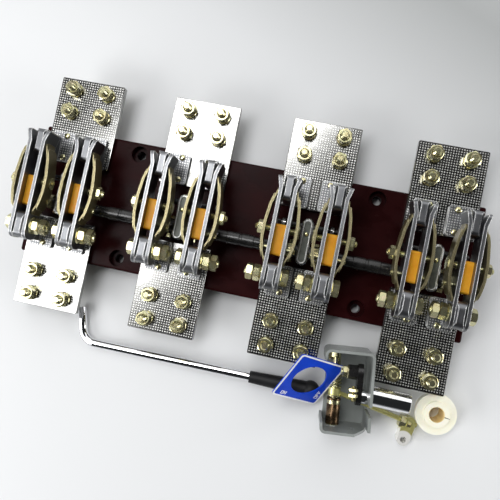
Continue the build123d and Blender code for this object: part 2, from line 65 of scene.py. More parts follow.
# Mesh helpers, all in millimetres in the row frame
def loft(bm, rings, closed=True, first_cap=False, last_cap=False):
    """Skin rings of points that have the same count."""
    rows = [[bm.verts.new(point * MM) for point in ring] for ring in rings]
    count = len(rows[0])
    for low, high in zip(rows, rows[1:]):
        for i in range(count if closed else count - 1):
            j = (i + 1) % count
            bm.faces.new((low[i], low[j], high[j], high[i]))
    if first_cap:
        bm.faces.new(rows[0][::-1])
    if last_cap:
        bm.faces.new(rows[-1])


def ring(place, radius, height, count=SEGMENTS):
    """Points round the Z axis; the radius and the height may depend on the angle."""
    points = []
    for i in range(count):
        angle = math.tau * i / count
        r = radius(angle) if callable(radius) else radius
        z = height(angle) if callable(height) else height
        points.append(place @ Vector((r * math.cos(angle), r * math.sin(angle), z)))
    return points


def add_lathe(bm, place, profile, count=SEGMENTS, first_cap=True, last_cap=True):
    """A turned shape from (radius, height) pairs."""
    loft(bm, [ring(place, r, z, count) for r, z in profile], True, first_cap, last_cap)


def add_tube(bm, place, profile, count=SEGMENTS):
    """A turned shape with a bore: the profile runs round its section and back."""
    loft(bm, [ring(place, r, z, count) for r, z in profile + profile[:1]])


def along(start, end):
    """Placing matrix whose Z axis runs from start towards end."""
    start, end = Vector(start), Vector(end)
    return Matrix.Translation(start) @ (end - start).to_track_quat("Z", "Y").to_matrix().to_4x4()


def at(x, y, z):
    """Placing matrix with the Z axis upright."""
    return Matrix.Translation((x, y, z))


def sideways(x, y, z, sign):
    """Placing matrix with the Z axis along +X or -X."""
    return Matrix.Translation((x, y, z)) @ Matrix.Rotation(sign * math.pi / 2, 4, "Y")


def add_hexagon(bm, place, flats, height, bore, both_ends=True):
    """A hexagon nut or head with the curved chamfers that turning leaves on its corners."""
    face_share, chamfer = 0.95, math.tan(math.radians(30))
    face = flats / 2 * face_share
    sixth = math.tau / 6

    def radius(angle):
        return flats / 2 / math.cos((angle + sixth / 2) % sixth - sixth / 2)

    def low(angle):
        return (radius(angle) - face) * chamfer if both_ends else 0.0

    def high(angle):
        return height - (radius(angle) - face) * chamfer

    rings = [ring(place, radius, low, HEX_SEGMENTS), ring(place, radius, high, HEX_SEGMENTS),
             ring(place, face, height, HEX_SEGMENTS)]
    if both_ends:
        rings.insert(0, ring(place, face, 0.0, HEX_SEGMENTS))
    if bore:
        bore_lead = 0.6
        rings += [ring(place, bore + bore_lead, height, HEX_SEGMENTS),
                  ring(place, bore, height - bore_lead, HEX_SEGMENTS)]
    loft(bm, rings, True, True, not bore)


def add_thread(bm, place, radius, start, end, pitch):
    """The threaded end of a stud, with a pointed lead."""
    depth, steps, count, lead = 0.6 * pitch, 4, 20, 1.3 * pitch
    rows = max(2, round((end - start) / pitch * steps))
    rings = []
    for k in range(rows + 1):
        z = start + (end - start) * k / rows

        def thread_radius(angle, z=z):
            phase = (z / pitch - angle / math.tau) % 1
            taper = max(0.0, lead - (end - z))
            return min(radius - depth * abs(2 * phase - 1), radius - taper)

        rings.append(ring(place, thread_radius, z, count))
    loft(bm, rings, True, True, True)


def add_split_washer(bm, place, inner, outer, thickness, opening):
    """A spring washer: a ring cut through, with its ends set apart."""
    count, rise = 30, SPLIT_RISE * thickness
    rings = []
    for k in range(count + 1):
        share = k / count
        angle = math.radians(opening) / 2 + (math.tau - math.radians(opening)) * share
        low = rise * share
        rings.append([place @ Vector((r * math.cos(angle), r * math.sin(angle), z))
                      for r, z in ((inner, low), (outer, low), (outer, low + thickness),
                                   (inner, low + thickness))])
    loft(bm, rings, True, True, True)


def add_washer(bm, place, inner, outer, thickness):
    """A flat washer with rounded rims."""
    soft = thickness * 0.3
    add_tube(bm, place, [(inner, 0.0), (outer - soft, 0.0), (outer, soft), (outer, thickness - soft),
                         (outer - soft, thickness), (inner, thickness)])


def add_pan_head(bm, place, radius, height):
    """A low domed head."""
    wall, dome, count = 0.35, 0.65, 20
    profile = [(radius, 0.0), (radius, wall * height)]
    profile += [(radius * math.cos(a), height * (wall + dome * math.sin(a)))
                for a in (math.radians(d) for d in (20, 40, 60, 76))]
    add_lathe(bm, place, profile, count)


def piece(name, bm, material, body, replaced=()):
    """Make an object from a mesh, smooth it, and hang it on a body of the frame."""
    bmesh.ops.recalc_face_normals(bm, faces=bm.faces)
    for face in bm.faces:
        face.smooth = True
    for edge in bm.edges:
        if len(edge.link_faces) == 2 and edge.calc_face_angle(0.0) > SHARP_ANGLE:
            edge.smooth = False
    mesh = bpy.data.meshes.new(name)
    bm.to_mesh(mesh)
    bm.free()
    mesh.materials.append(material)
    obj = bpy.data.objects.new(name, mesh)
    bpy.context.collection.objects.link(obj)
    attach(obj, body)
    if replaced:
        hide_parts(*replaced)


# Material helpers
def surface(name, **values):
    """A material with these constant values on its surface shader."""
    material = bpy.data.materials.new(name)
    material.use_nodes = True
    shader = material.node_tree.nodes["Principled BSDF"]
    for socket, value in values.items():
        shader.inputs[socket.replace("_", " ")].default_value = value
    return material


def noise(material, scale, stretch=(1, 1, 1), detail=3.0, distortion=0.0):
    """The value of a noise in the row frame; scale is in cycles per metre."""
    nodes, links = material.node_tree.nodes, material.node_tree.links
    coordinates = nodes.new("ShaderNodeTexCoord")
    mapping = nodes.new("ShaderNodeMapping")
    mapping.inputs["Scale"].default_value = stretch
    texture = nodes.new("ShaderNodeTexNoise")
    texture.inputs["Scale"].default_value = scale
    texture.inputs["Detail"].default_value = detail
    texture.inputs["Distortion"].default_value = distortion
    links.new(coordinates.outputs["Object"], mapping.inputs["Vector"])
    links.new(mapping.outputs["Vector"], texture.inputs["Vector"])
    return texture.outputs["Fac"]


def colour_by(material, value, stops):
    """Colour the surface from a value by (position, colour) stops."""
    nodes, links = material.node_tree.nodes, material.node_tree.links
    ramp = nodes.new("ShaderNodeValToRGB")
    while len(ramp.color_ramp.elements) < len(stops):
        ramp.color_ramp.elements.new(0.5)
    for element, (position, colour) in zip(ramp.color_ramp.elements, stops):
        element.position = position
        element.color = (*colour, 1.0)
    links.new(value, ramp.inputs["Fac"])
    links.new(ramp.outputs["Color"], nodes["Principled BSDF"].inputs["Base Color"])


def roughness_by(material, value, low, high):
    """Let a value drive the roughness between two limits."""
    nodes, links = material.node_tree.nodes, material.node_tree.links
    limits = nodes.new("ShaderNodeMapRange")
    limits.inputs["From Min"].default_value = NOISE_LOW
    limits.inputs["From Max"].default_value = NOISE_HIGH
    limits.inputs["To Min"].default_value = low
    limits.inputs["To Max"].default_value = high
    links.new(value, limits.inputs["Value"])
    links.new(limits.outputs["Result"], nodes["Principled BSDF"].inputs["Roughness"])


def bump_by(material, value, distance, strength):
    """Let a value raise the surface a little."""
    nodes, links = material.node_tree.nodes, material.node_tree.links
    bump = nodes.new("ShaderNodeBump")
    bump.inputs["Distance"].default_value = distance
    bump.inputs["Strength"].default_value = strength
    links.new(value, bump.inputs["Height"])
    links.new(bump.outputs["Normal"], nodes["Principled BSDF"].inputs["Normal"])


def soften_edges(material, radius):
    """Round the light over sharp edges by a radius in mm."""
    nodes, links = material.node_tree.nodes, material.node_tree.links
    bevel = nodes.new("ShaderNodeBevel")
    bevel.samples = 6
    bevel.inputs["Radius"].default_value = radius * MM
    bump = nodes.get("Bump")
    links.new(bevel.outputs["Normal"], (bump or nodes["Principled BSDF"]).inputs["Normal"])


# Mask for painted highlights along edges
def edge_highlight_mask(material, reach):
    """Value that is 1 on flat faces and falls towards their edges."""
    nodes, links = material.node_tree.nodes, material.node_tree.links
    bevel = nodes.new("ShaderNodeBevel")
    bevel.inputs["Radius"].default_value = reach * MM
    geometry = nodes.new("ShaderNodeNewGeometry")
    alike = nodes.new("ShaderNodeVectorMath")
    alike.operation = "DOT_PRODUCT"
    links.new(bevel.outputs["Normal"], alike.inputs[0])
    links.new(geometry.outputs["True Normal"], alike.inputs[1])
    return alike.outputs["Value"]


def colour_near(material, centre, weights, reach, blend, colour):
    """Another colour within a reach of a place in mm; the value returned is 0 there and 1 beyond."""
    nodes, links = material.node_tree.nodes, material.node_tree.links
    shader = nodes["Principled BSDF"]
    body = shader.inputs["Base Color"].links[0].from_socket
    coordinates = nodes.new("ShaderNodeTexCoord")
    weighted = nodes.new("ShaderNodeVectorMath")
    weighted.operation = "MULTIPLY"
    weighted.inputs[1].default_value = weights
    distance = nodes.new("ShaderNodeVectorMath")
    distance.operation = "DISTANCE"
    distance.inputs[1].default_value = Vector([c * w for c, w in zip(centre, weights)]) * MM
    beyond = nodes.new("ShaderNodeMapRange")
    beyond.inputs["From Min"].default_value = reach * MM
    beyond.inputs["From Max"].default_value = (reach + blend) * MM
    mix = nodes.new("ShaderNodeMix")
    mix.data_type = "RGBA"
    mix.inputs["A"].default_value = (*colour, 1.0)
    links.new(coordinates.outputs["Object"], weighted.inputs[0])
    links.new(weighted.outputs["Vector"], distance.inputs[0])
    links.new(distance.outputs["Value"], beyond.inputs["Value"])
    links.new(beyond.outputs["Result"], mix.inputs["Factor"])
    links.new(body, mix.inputs["B"])
    links.new(mix.outputs["Result"], shader.inputs["Base Color"])
    return beyond.outputs["Result"]


def board_material():
    """Glossy maroon moulding with a cloudy depth and slight waviness."""
    m = surface("board", Specular_IOR_Level=0.04)
    cloud = noise(m, 22, (1, 1.6, 1), 5)
    colour_by(m, cloud, [(0.3, (0.011, 0.0016, 0.0018)), (0.7, (0.024, 0.0038, 0.0042))])
    roughness_by(m, cloud, 0.22, 0.34)
    bump_by(m, noise(m, 260, detail=2), 0.0002, 0.25)
    return m


def tinned_material():
    """Tin over copper, darkened as a painted dark reflection between the crests of its embossing."""
    m = surface("tinned", Metallic=1.0)
    cloud = noise(m, 70, detail=5)
    # Painted dark reflection: the tin is kept dark so that the pale crests stand out
    colour_by(m, cloud, [(0.3, (0.24, 0.24, 0.23)), (0.55, (0.34, 0.34, 0.33)), (0.75, (0.44, 0.44, 0.42))])
    roughness_by(m, cloud, 0.18, 0.13)
    return m


def crest_material():
    """Tin on the crests of the embossing, painted pale as a highlight."""
    m = surface("crest", Metallic=0.75)
    cloud = noise(m, 160, detail=4)
    # Painted highlight: the crests are paler than the same tin on the plate
    colour_by(m, cloud, [(0.3, (0.70, 0.70, 0.68)), (0.7, (0.88, 0.88, 0.86))])
    roughness_by(m, cloud, 0.26, 0.40)
    return m


def blade_material():
    """Satin tin, painted dark on its flats as a dark reflection and painted bright along its edges as a
    highlight.
    """
    m = surface("blade", Metallic=1.0)
    grain = noise(m, 500, (1, 0.05, 1), 3)
    # Painted highlight along the edges, over a painted dark reflection on the flats
    colour_by(m, edge_highlight_mask(m, 1.5), [(0.93, (0.92, 0.92, 0.91)), (0.995, (0.19, 0.195, 0.205))])
    roughness_by(m, grain, 0.30, 0.42)
    soften_edges(m, 0.65)
    return m


def zinc_material():
    """Yellow passivated zinc with its shift of hue from gold to green and rose."""
    m = surface("zinc", Metallic=0.92)
    film = noise(m, 110, detail=3, distortion=0.8)
    colour_by(m, film, [(0.25, (0.46, 0.39, 0.19)), (0.42, (0.64, 0.58, 0.34)), (0.55, (0.57, 0.57, 0.34)),
                        (0.68, (0.66, 0.56, 0.37)), (0.8, (0.76, 0.72, 0.52))])
    roughness_by(m, noise(m, 250), 0.16, 0.25)
    return m


def bronze_material():
    """Spring bronze, dark on its flats, with a painted highlight along its edges."""
    m = surface("bronze", Metallic=0.82)
    grain = noise(m, 160, (1, 0.1, 1), 2)
    # Painted highlight: pale along the edges, dark on the flats
    colour_by(m, edge_highlight_mask(m, 0.9), [(0.93, (0.62, 0.56, 0.34)), (0.995, (0.19, 0.16, 0.08))])
    roughness_by(m, grain, 0.34, 0.40)
    return m


def dark_bronze_material():
    """Oiled dark bronze."""
    m = surface("dark_bronze", Metallic=0.9)
    cloud = noise(m, 150, detail=4)
    colour_by(m, cloud, [(0.3, (0.060, 0.036, 0.020)), (0.7, (0.15, 0.098, 0.052))])
    roughness_by(m, cloud, 0.2, 0.34)
    return m


def tie_material():
    """Yellow zinc on the rod, and bright plating round the eye."""
    eye_reach, eye_blend, eye_metal, rod_metal = 12.0, 0.8, 0.35, 0.6
    m = surface("tie")
    cloud = noise(m, 110, detail=3, distortion=0.8)
    colour_by(m, cloud, [(0.3, (0.58, 0.54, 0.17)), (0.7, (0.84, 0.81, 0.36))])
    roughness_by(m, cloud, 0.14, 0.24)
    beyond = colour_near(m, mount_place["rod_eye"], (1.0, 1.0, 1.0), eye_reach, eye_blend, (0.93, 0.92, 0.88))
    nodes, links = m.node_tree.nodes, m.node_tree.links
    metal = nodes.new("ShaderNodeMapRange")
    metal.inputs["To Min"].default_value = eye_metal
    metal.inputs["To Max"].default_value = rod_metal
    links.new(beyond, metal.inputs["Value"])
    links.new(metal.outputs["Result"], nodes["Principled BSDF"].inputs["Metallic"])
    return m


def steel_material():
    """Polished steel with faint drawing lines."""
    m = surface("steel", Metallic=1.0)
    grain = noise(m, 700, (1, 0.1, 1), 4)
    colour_by(m, grain, [(0.3, (0.52, 0.52, 0.51)), (0.7, (0.70, 0.70, 0.69))])
    roughness_by(m, grain, 0.16, 0.30)
    return m


def chrome_material():
    """Bright plating with hardly any haze."""
    m = surface("chrome", Metallic=1.0)
    haze = noise(m, 90, detail=4)
    colour_by(m, haze, [(0.3, (0.80, 0.81, 0.83)), (0.7, (0.90, 0.90, 0.91))])
    roughness_by(m, haze, 0.04, 0.11)
    return m


def insulator_material():
    """Orange moulding that lets a little light in."""
    m = surface("insulator", Specular_IOR_Level=0.15, Subsurface_Weight=0.3, Subsurface_Scale=0.003,
                Subsurface_Radius=(1.0, 0.35, 0.08))
    cloud = noise(m, 60, detail=4)
    colour_by(m, cloud, [(0.3, (0.78, 0.34, 0.022)), (0.7, (0.92, 0.45, 0.040))])
    roughness_by(m, cloud, 0.28, 0.42)
    bump_by(m, noise(m, 1200, detail=2), 0.0001, 0.2)
    return m


def black_material():
    """Black enamel."""
    m = surface("black", Coat_Weight=0.2, Coat_Roughness=0.1)
    cloud = noise(m, 80, detail=4)
    colour_by(m, cloud, [(0.3, (0.006, 0.006, 0.006)), (0.7, (0.016, 0.015, 0.015))])
    roughness_by(m, cloud, 0.2, 0.34)
    return m


def grip_material():
    """Satin black moulding with a fine grain."""
    m = surface("grip", Specular_IOR_Level=0.22)
    grain = noise(m, 1500, detail=2)
    colour_by(m, noise(m, 60), [(0.3, (0.008, 0.008, 0.009)), (0.7, (0.016, 0.016, 0.017))])
    roughness_by(m, grain, 0.38, 0.52)
    bump_by(m, grain, 0.0002, 0.3)
    return m


def grey_material():
    """Grey paint with a fine orange-peel skin."""
    m = surface("grey", Coat_Weight=0.35, Coat_Roughness=0.25)
    skin = noise(m, 500, detail=2)
    colour_by(m, noise(m, 40, detail=5), [(0.3, (0.21, 0.225, 0.215)), (0.7, (0.27, 0.29, 0.28))])
    roughness_by(m, skin, 0.34, 0.48)
    bump_by(m, skin, 0.0002, 0.25)
    soften_edges(m, 0.9)
    return m


def dark_reflection_material():
    """Dull grey-green, painted as the dark reflection inside the rim of a crank arm."""
    m = surface("dark_reflection", Metallic=0.3)
    cloud = noise(m, 200, detail=4)
    colour_by(m, cloud, [(0.3, (0.075, 0.082, 0.070)), (0.7, (0.13, 0.14, 0.12))])
    roughness_by(m, cloud, 0.3, 0.5)
    return m


def blue_material():
    """Royal blue print under clear lacquer."""
    m = surface("blue", Specular_IOR_Level=0.25)
    cloud = noise(m, 50, detail=4)
    colour_by(m, cloud, [(0.3, (0.003, 0.045, 0.52)), (0.7, (0.006, 0.065, 0.66))])
    roughness_by(m, cloud, 0.3, 0.42)
    return m


def ivory_material():
    """Ivory nylon, with a painted amber glow in its bore for the light that comes through the translucent
    wall.
    """
    bore_reach, bore_blend = 8.4, 0.6
    m = surface("ivory", Subsurface_Weight=0.25, Subsurface_Scale=0.004,
                Subsurface_Radius=(1.0, 0.8, 0.5))
    cloud = noise(m, 70, detail=4)
    colour_by(m, cloud, [(0.3, (0.90, 0.88, 0.72)), (0.7, (0.95, 0.93, 0.80))])
    # Painted glow: amber near the bore's axis, for light seen through the nylon
    colour_near(m, mount_place["bush_bore"], (1.0, 1.0, 0.0), bore_reach, bore_blend, (0.90, 0.70, 0.30))
    roughness_by(m, cloud, 0.36, 0.5)
    return m


def print_material():
    """White print ink."""
    m = surface("print")
    cloud = noise(m, 300, detail=3)
    colour_by(m, cloud, [(0.3, (0.88, 0.89, 0.90)), (0.7, (0.94, 0.95, 0.96))])
    roughness_by(m, cloud, 0.4, 0.55)
    return m


board, tinned, crest = board_material(), tinned_material(), crest_material()
blade, steel, chrome = blade_material(), steel_material(), chrome_material()
zinc, tie = zinc_material(), tie_material()
bronze, dark_bronze = bronze_material(), dark_bronze_material()
insulator, black, grip = insulator_material(), black_material(), grip_material()
grey, dark_reflection, blue = grey_material(), dark_reflection_material(), blue_material()
ivory, white_print = ivory_material(), print_material()
slot_material = {"board": board, "tinned": tinned, "blade": blade, "zinc": zinc, "steel": steel,
                 "chrome": chrome, "insulator": insulator, "black": black, "grip": grip, "grey": grey,
                 "blue": blue, "ivory": ivory}

for subpart in record["subparts"]:
    node = frame["nodes"][subpart["node"]]
    node.data.materials.clear()
    node.data.materials.append(slot_material[subpart["material_slot"]])
for n in range(1, 5):
    frame["nodes"][f"springs_{n}"].data.materials[0] = bronze
frame["nodes"]["connecting_rod"].data.materials[0] = tie


# Terminal bolts: head under the plate, and washer, spring washer and nut over it
m10_flats, m10_nut, m10_head, m10_radius = 16.0, 8.0, 6.4, 5.0
washer_outer, washer_thickness = 9.0, 1.8
split_outer, split_thickness, split_gap = 8.2, 1.8, 14.0
stud_past_nut, stud_in_nut = 7.0, 1.0
bolt_turn, pole_turn = 17.0, 5.0
plate_thickness = 8.0


def terminal_bolts(name, mount):
    """The four bolts of one terminal plate."""
    nuts, washers, studs = bmesh.new(), bmesh.new(), bmesh.new()
    centre = mount_place[mount]
    dims = next(m["dims"] for m in record["mounts"] if m["name"] == mount)
    for i, (sx, sy) in enumerate(((-1, -1), (1, -1), (-1, 1), (1, 1))):
        x = centre.x + sx * dims["spacing_x_mm"] / 2
        y = centre.y + sy * dims["spacing_y_mm"] / 2
        z = centre.z
        turn = Matrix.Rotation(math.radians(bolt_turn * i + pole_turn * centre.x), 4, "Z")
        add_washer(washers, at(x, y, z), m10_radius, washer_outer, washer_thickness)
        z += washer_thickness
        add_split_washer(washers, at(x, y, z) @ turn, m10_radius, split_outer, split_thickness, split_gap)
        z += (1 + SPLIT_RISE) * split_thickness
        add_hexagon(nuts, at(x, y, z) @ turn, m10_flats, m10_nut, m10_radius)
        z += m10_nut
        add_thread(studs, at(x, y, z), m10_radius, -stud_in_nut, stud_past_nut, M10_PITCH)
        under = at(x, y, centre.z - plate_thickness) @ Matrix.Rotation(math.pi, 4, "X")
        add_hexagon(nuts, under @ turn, m10_flats, m10_head, 0, False)
    piece(f"{name}_nuts", nuts, zinc, "base")
    piece(f"{name}_washers", washers, zinc, "base")
    piece(f"{name}_studs", studs, zinc, "base")


for side in ("upper", "lower"):
    for n in range(1, 5):
        terminal_bolts(f"{side}_bolts_{n}", f"{side}_terminal_{n}")


# Embossing of the terminal plates: a grid of small raised squares round the feet and washers
knurl_pitch, knurl_margin = 2.9, 2.0
knurl_foot, knurl_top, knurl_height = 0.72, 0.52, 0.30
plate_half_width = 40.0
foot_low, foot_high, foot_top, post_low = 6.3, 33.7, 38.0, 22.3
upper_plate, lower_plate = (36.0, 140.0), (-140.0, -32.0)
upper_foot, lower_foot = (36.0, 73.2), (-69.7, -32.0)
upper_post, lower_post = (36.0, 65.5), (-64.0, -32.0)


def add_crest(bm, x, y, z):
    """One raised square."""
    loft(bm, [[Vector((x + sx * half, y + sy * half, z + h))
               for sx, sy in ((-1, -1), (1, -1), (1, 1), (-1, 1))]
              for half, h in ((knurl_foot, 0.0), (knurl_top, knurl_height))], True, False, True)


def knurl(name, mount, plate, foot, post):
    """The raised squares of one plate and of the feet on it."""
    centre = mount_place[mount]
    dims = next(m["dims"] for m in record["mounts"] if m["name"] == mount)
    bolts = [Vector((sx * dims["spacing_x_mm"] / 2, centre.y + sy * dims["spacing_y_mm"] / 2))
             for sx in (-1, 1) for sy in (-1, 1)]
    columns = int((plate_half_width - knurl_margin) / knurl_pitch)
    length = plate[1] - plate[0] - 2 * knurl_margin
    rows = int(length / knurl_pitch)
    start = plate[0] + knurl_margin + (length - rows * knurl_pitch) / 2
    bm = bmesh.new()
    for i in range(-columns, columns + 1):
        for j in range(rows + 1):
            x, y = i * knurl_pitch, start + j * knurl_pitch
            across = abs(x)
            if any((Vector((x, y)) - bolt).length < washer_outer + knurl_foot for bolt in bolts):
                continue
            if foot_low - knurl_foot < across < foot_high + knurl_foot and foot[0] < y < foot[1]:
                on_foot = foot_low + knurl_foot < across < foot_high - knurl_foot
                on_foot = on_foot and foot[0] + 2 * knurl_foot < y < foot[1] - 2 * knurl_foot
                at_post = across > post_low - knurl_foot and post[0] < y < post[1]
                if on_foot and not at_post:
                    add_crest(bm, centre.x + x, y, foot_top)
            else:
                add_crest(bm, centre.x + x, y, centre.z)
    piece(name, bm, crest, "base")


for n in range(1, 5):
    knurl(f"upper_knurl_{n}", f"upper_terminal_{n}", upper_plate, upper_foot, upper_post)
    knurl(f"lower_knurl_{n}", f"lower_terminal_{n}", lower_plate, lower_foot, lower_post)


# Hinge bolts, knife bolts and link pins
knife_offset = 28.0
hinge_washer_start, hinge_washer_outer, hinge_washer_thickness = 10.3, 10.0, 2.0
# Slope of the cup washers by distance in from the rim and height
cup_slope = [(0.0, 0.7), (1.2, 1.6), (3.0, hinge_washer_thickness)]
hinge_nut_flats, hinge_nut, hinge_nut_gap, hinge_nut_turn = 16.0, 7.5, 0.8, 14.0
hinge_head, hinge_radius, hinge_end = 6.5, 5.0, 2.0
knife_bolt_y, knife_bolt_z, knife_bolt_radius, knife_bolt_flats = 4.0, 67.5, 4.0, 13.0
knife_face, knife_head, knife_nut, knife_end = 19.5, 1.5, 6.0, 3.0
link_pin_y, link_pin_z = -17.0, 64.0
link_pin_radius, link_pin_reach, link_pin_soft = 3.0, 20.0, 0.6


def add_hinge_bolt(nuts, washers, studs, x, y, z, sign):
    """One hinge bolt with a cup washer at each side, a head and two nuts."""
    cup = [(hinge_radius, 0.0), (hinge_washer_outer, 0.0)]
    cup += [(hinge_washer_outer - inset, height) for inset, height in cup_slope]
    cup += [(hinge_radius, hinge_washer_thickness)]
    for s in (-1, 1):
        add_tube(washers, sideways(x + s * hinge_washer_start, y, z, s), cup)
    seat = hinge_washer_start + hinge_washer_thickness
    add_hexagon(nuts, sideways(x - sign * seat, y, z, -sign), hinge_nut_flats, hinge_head, 0, False)
    for k in range(2):
        place = sideways(x + sign * (seat + k * (hinge_nut + hinge_nut_gap)), y, z, sign)
        turn = Matrix.Rotation(math.radians(hinge_nut_turn * k), 4, "Z")
        add_hexagon(nuts, place @ turn, hinge_nut_flats, hinge_nut, hinge_radius)
    reach = seat + 2 * hinge_nut + hinge_nut_gap + hinge_end
    add_thread(studs, sideways(x, y, z, sign), hinge_radius, -seat, reach, M10_PITCH)


def add_knife_bolt(bm, x, sign):
    """The bolt through one knife's block and springs."""
    inner = sideways(x - sign * knife_face, knife_bolt_y, knife_bolt_z, -sign)
    outer = sideways(x + sign * knife_face, knife_bolt_y, knife_bolt_z, sign)
    add_hexagon(bm, inner, knife_bolt_flats, knife_head, 0, False)
    add_hexagon(bm, outer, knife_bolt_flats, knife_nut, knife_bolt_radius)
    add_thread(bm, sideways(x, knife_bolt_y, knife_bolt_z, sign), knife_bolt_radius, -knife_face,
               knife_face + knife_nut + knife_end, M8_PITCH)


def add_link_pin(bm, x):
    """The plain pin that the link pulls on, with rounded ends."""
    length, end_radius, count = 2 * link_pin_reach, link_pin_radius - link_pin_soft, 20
    add_lathe(bm, sideways(x - link_pin_reach, link_pin_y, link_pin_z, 1),
              [(end_radius, 0.0), (link_pin_radius, link_pin_soft),
               (link_pin_radius, length - link_pin_soft), (end_radius, length)], count)


nuts, washers, studs = bmesh.new(), bmesh.new(), bmesh.new()
for n, hinge in enumerate(hinge_places, 1):
    nut_side = 1 if hinge.x < 0 else -1
    pins = bmesh.new()
    for s in (-1, 1):
        add_hinge_bolt(nuts, washers, studs, hinge.x + s * knife_offset, hinge.y, hinge.z, nut_side)
        add_knife_bolt(pins, hinge.x + s * knife_offset, s)
        add_link_pin(pins, hinge.x + s * knife_offset)
    piece(f"knife_bolts_{n}", pins, zinc, f"knife_{n}", [f"knife_pins_{n}"])
piece("hinge_nuts", nuts, zinc, "base", ["hinge_bolts"])
piece("hinge_washers", washers, zinc, "base")
piece("hinge_studs", studs, zinc, "base")


# Rivets of the feet
rivet_radius, rivet_height = 3.6, 1.8
# Places of the rivets by distance from the pole and place along it
rivet_places = [(16.0, 67.5), (16.0, 41.5), (17.0, -64.0)]
bm = bmesh.new()
for x in pole_xs:
    for across, y in rivet_places:
        for s in (-1, 1):
            add_pan_head(bm, at(x + s * across, y, foot_top), rivet_radius, rivet_height)
piece("foot_rivets", bm, zinc, "base")


# Outer leaves of the springs, laid over the inner ones
# Course of a leaf by place along the knife and distance from its middle
leaf_points = [(-29.0, 11.7), (-22.0, 14.2), (-8.0, 16.5), (10.0, 16.5), (30.0, 14.2), (42.0, 11.0)]
leaf_start, leaf_thickness, leaf_low, leaf_high = 1.9, 1.1, 60.0, 80.0
leaf_round, leaf_steps = 4.0, 60


def leaf_out(y):
    """Distance of the bowed leaf from the knife's middle, smoothed over a short stretch."""
    total, reach = 0.0, 4
    for k in range(-reach, reach + 1):
        t = min(max(y + k, leaf_points[0][0]), leaf_points[-1][0])
        for (y0, out0), (y1, out1) in zip(leaf_points, leaf_points[1:]):
            if y0 <= t <= y1:
                total += out0 + (out1 - out0) * (t - y0) / (y1 - y0)
                break
    return total / (2 * reach + 1)


def outer_leaves(n, pole_x):
    """The four outer leaves of one pole."""
    bm = bmesh.new()
    first, last = leaf_points[0][0], leaf_points[-1][0]
    for knife in (-1, 1):
        for side in (-1, 1):
            rings = []
            for k in range(leaf_steps + 1):
                y = first + (last - first) * k / leaf_steps
                end = min(y - first, last - y)
                nip = leaf_round - math.sqrt(max(0.0, leaf_round ** 2 - max(0.0, leaf_round - end) ** 2))
                inner = leaf_out(y) + leaf_start
                outer = inner + leaf_thickness
                x = pole_x + knife * knife_offset
                rings.append([Vector((x + side * r, y, z)) for r, z in
                              ((inner, leaf_low + nip), (outer, leaf_low + nip), (outer, leaf_high - nip),
                               (inner, leaf_high - nip))])
            loft(bm, rings, True, True, True)
    piece(f"outer_leaves_{n}", bm, bronze, f"knife_{n}")


for n, hinge in enumerate(hinge_places, 1):
    outer_leaves(n, hinge.x)


# Bright bead painted as the highlight round each crank arm's top, a thin sheet painted as the dark reflection
# inside it, and its screw
crank_top, crank_low, crank_high, crank_half = 52.0, -29.0, 24.0, 6.5
rim_inset, rim_width, rim_height, rim_soft, dark_reflection_height = 1.5, 1.6, 1.0, 0.3, 0.2
crank_screw_y, crank_screw_radius, crank_screw_height = 6.0, 2.6, 1.8


def slot_ring(x, low, high, half, z, count=12):
    """Points round an upright slot outline."""
    points = []
    for centre_y, start in ((high - half, 0.0), (low + half, math.pi)):
        for k in range(count + 1):
            angle = start + math.pi * k / count
            points.append(Vector((x + half * math.cos(angle), centre_y + half * math.sin(angle), z)))
    return points


def crank_outline(x, inset, height):
    """Points round the top of one crank arm, set in from its edge."""
    return slot_ring(x, crank_low + inset, crank_high - inset, crank_half - inset, crank_top + height)


rim_highlights, dark_reflection_sheets, screws = bmesh.new(), bmesh.new(), bmesh.new()
rim_inner = rim_inset + rim_width
rim_section = [(rim_inset, 0.0), (rim_inset + rim_soft, rim_height), (rim_inner - rim_soft, rim_height),
               (rim_inner, 0.0), (rim_inset, 0.0)]
for x in pole_xs:
    loft(rim_highlights, [crank_outline(x, inset, height) for inset, height in rim_section])
    loft(dark_reflection_sheets, [crank_outline(x, rim_inner, height) for height in (0.0, dark_reflection_height)], True, True, True)
    add_pan_head(screws, at(x, crank_screw_y, crank_top + dark_reflection_height), crank_screw_radius,
                 crank_screw_height)
# Painted highlight: a bright bead along the crank arm's edge
piece("crank_rim_highlights", rim_highlights, blade, "shaft")
# Painted dark reflection: a thin dull sheet inside the bead
piece("crank_dark_reflections", dark_reflection_sheets, dark_reflection, "shaft")
piece("crank_screws", screws, zinc, "shaft")


# Sleeves that join the lengths of the shaft midway between the poles
shaft_place = joint_place["shaft_turn"]
joint_radius, joint_half, joint_gap, joint_lip = 7.7, 16.0, 0.8, 0.9
bm = bmesh.new()
for x0, x1 in zip(pole_xs, pole_xs[1:]):
    middle = (x0 + x1) / 2
    for s in (-1, 1):
        low, high = sorted((s * joint_gap, s * joint_half))
        place = sideways(middle + low, shaft_place.y, shaft_place.z, 1)
        add_lathe(bm, place, [(joint_radius - joint_lip, 0.0), (joint_radius, joint_lip),
                              (joint_radius, high - low - joint_lip),
                              (joint_radius - joint_lip, high - low)])
piece("shaft_sleeves", bm, black, "shaft")


# Face plate: white border and two plain words
face_centre, face_thickness, face_half, face_round = Vector((107.6, -152.9, 41.2)), 1.5, 31.6, 3.5
face_lean, face_heading, face_turn = math.radians(43.3), math.radians(-50.0), math.radians(32.0)
border_width, print_height, stroke, letter_pitch = 2.0, 0.15, 0.75, 4.0
